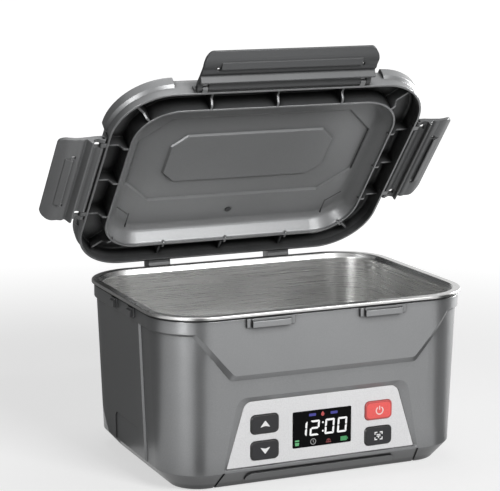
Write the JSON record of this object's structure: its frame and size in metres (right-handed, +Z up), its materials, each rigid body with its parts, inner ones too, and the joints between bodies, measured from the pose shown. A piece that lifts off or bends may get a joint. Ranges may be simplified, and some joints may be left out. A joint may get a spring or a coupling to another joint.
{
  "type": "electric lunch box",
  "caption": "Electric lunch box: heated base with a control panel and display, lift-out steel pot, and a rear-hinged lid with swing latches on three sides.",
  "frame": {"origin": "on the table, under the middle of the base, in the plane of the feet", "axes": "+X to the right seen from the front, +Y to the back where the lid is hinged, +Z up"},
  "size_m": [0.312, 0.2071, 0.298],
  "materials": {
    "grey_plastic": "satin moulded plastic",
    "black_plastic": "fine moulded texture",
    "screw_steel": "zinc plated",
    "foot_rubber": "matt",
    "silver_panel": "silver painted, fine grain",
    "display_lens": "polished",
    "module_plastic": "matt",
    "keypad_rubber": "matt silicone",
    "green_board": "solder mask",
    "charcoal_button": "semi gloss",
    "coral_button": "semi gloss",
    "liner_aluminium": "drawn sheet",
    "black_silicone": "matt silicone",
    "plate_aluminium": "milled",
    "mica": "mica sheet",
    "ceramic": "glazed ceramic",
    "fuse_metal": "tinned",
    "fibre_pad": "fibre felt",
    "strap_steel": "zinc plated",
    "tray_plastic": "moulded",
    "cell_wrap": "shrink wrapped cell",
    "inlet_plastic": "moulded",
    "wire_jacket": "silicone jacket",
    "pin_steel": "ground",
    "stainless_steel": "brushed inside, bright rim",
    "dark_grey_plastic": "satin moulded plastic"
  },
  "bodies": {
    "base": {"housing": "grey_plastic", "base_cover": "black_plastic", "cover_screws": "screw_steel", "rubber_feet": "foot_rubber", "control_panel": "silver_panel", "display_window": "display_lens", "display_module": "module_plastic", "keypad_mat": "keypad_rubber", "control_board": "green_board", "board_screws": "screw_steel", "well_liner": "liner_aluminium", "rim_seal": "black_silicone", "heating_plate": "plate_aluminium", "heating_element": "mica", "thermostat": "ceramic", "thermal_fuse": "fuse_metal", "insulation_pad": "fibre_pad", "heater_straps": "strap_steel", "power_board": "green_board", "battery_tray": "tray_plastic", "battery_cells": "cell_wrap", "power_inlet": "inlet_plastic", "wire_loom": "wire_jacket", "hinge_pins": "pin_steel"},
    "lid": {"lid_shell": "dark_grey_plastic", "front_latch_pin": "pin_steel", "side_latch_pins": "pin_steel"},
    "vent": {"vent_plug": "black_silicone"},
    "front_flap": {"front_latch": "dark_grey_plastic"},
    "left_flap": {"left_latch": "dark_grey_plastic"},
    "right_flap": {"right_latch": "dark_grey_plastic"},
    "pot": {"food_pot": "stainless_steel"},
    "button_up": {"up_button": "charcoal_button"},
    "button_down": {"down_button": "charcoal_button"},
    "button_power": {"power_button": "coral_button"},
    "button_mode": {"mode_button": "charcoal_button"}
  },
  "joints": [
    {"name": "lid_hinge", "type": "hinge", "parent": "base", "child": "lid", "pos_m": [0, 0.104, 0.113], "axis": [-1, 0, 0], "range_deg": [-49.34, 45]},
    {"name": "front_latch_hinge", "type": "hinge", "parent": "lid", "child": "front_flap", "pos_m": [0, -0.01775, 0.27102], "axis": [-1, 0, 0], "range_deg": [-90, 35]},
    {"name": "left_latch_hinge", "type": "hinge", "parent": "lid", "child": "left_flap", "pos_m": [-0.1247, 0.04037, 0.20335], "axis": [0, 0.6516, -0.7586], "range_deg": [-90, 35]},
    {"name": "right_latch_hinge", "type": "hinge", "parent": "lid", "child": "right_flap", "pos_m": [0.1247, 0.04037, 0.20335], "axis": [0, -0.6516, 0.7586], "range_deg": [-90, 35]},
    {"name": "vent_pull", "type": "slide", "parent": "lid", "child": "vent", "axis": [0, 0.7586, 0.6516], "range_m": [0, 0.003]},
    {"name": "pot_lift", "type": "slide", "parent": "base", "child": "pot", "axis": [0, 0, 1], "range_m": [0, 0.012]},
    {"name": "up_press", "type": "slide", "parent": "base", "child": "button_up", "axis": [0, 1, 0], "range_m": [0, 0.0008], "stiffness_N_per_m": 1500},
    {"name": "down_press", "type": "slide", "parent": "base", "child": "button_down", "axis": [0, 1, 0], "range_m": [0, 0.0008], "stiffness_N_per_m": 1500},
    {"name": "power_press", "type": "slide", "parent": "base", "child": "button_power", "axis": [0, 1, 0], "range_m": [0, 0.0008], "stiffness_N_per_m": 1500},
    {"name": "mode_press", "type": "slide", "parent": "base", "child": "button_mode", "axis": [0, 1, 0], "range_m": [0, 0.0008], "stiffness_N_per_m": 1500}
  ]
}
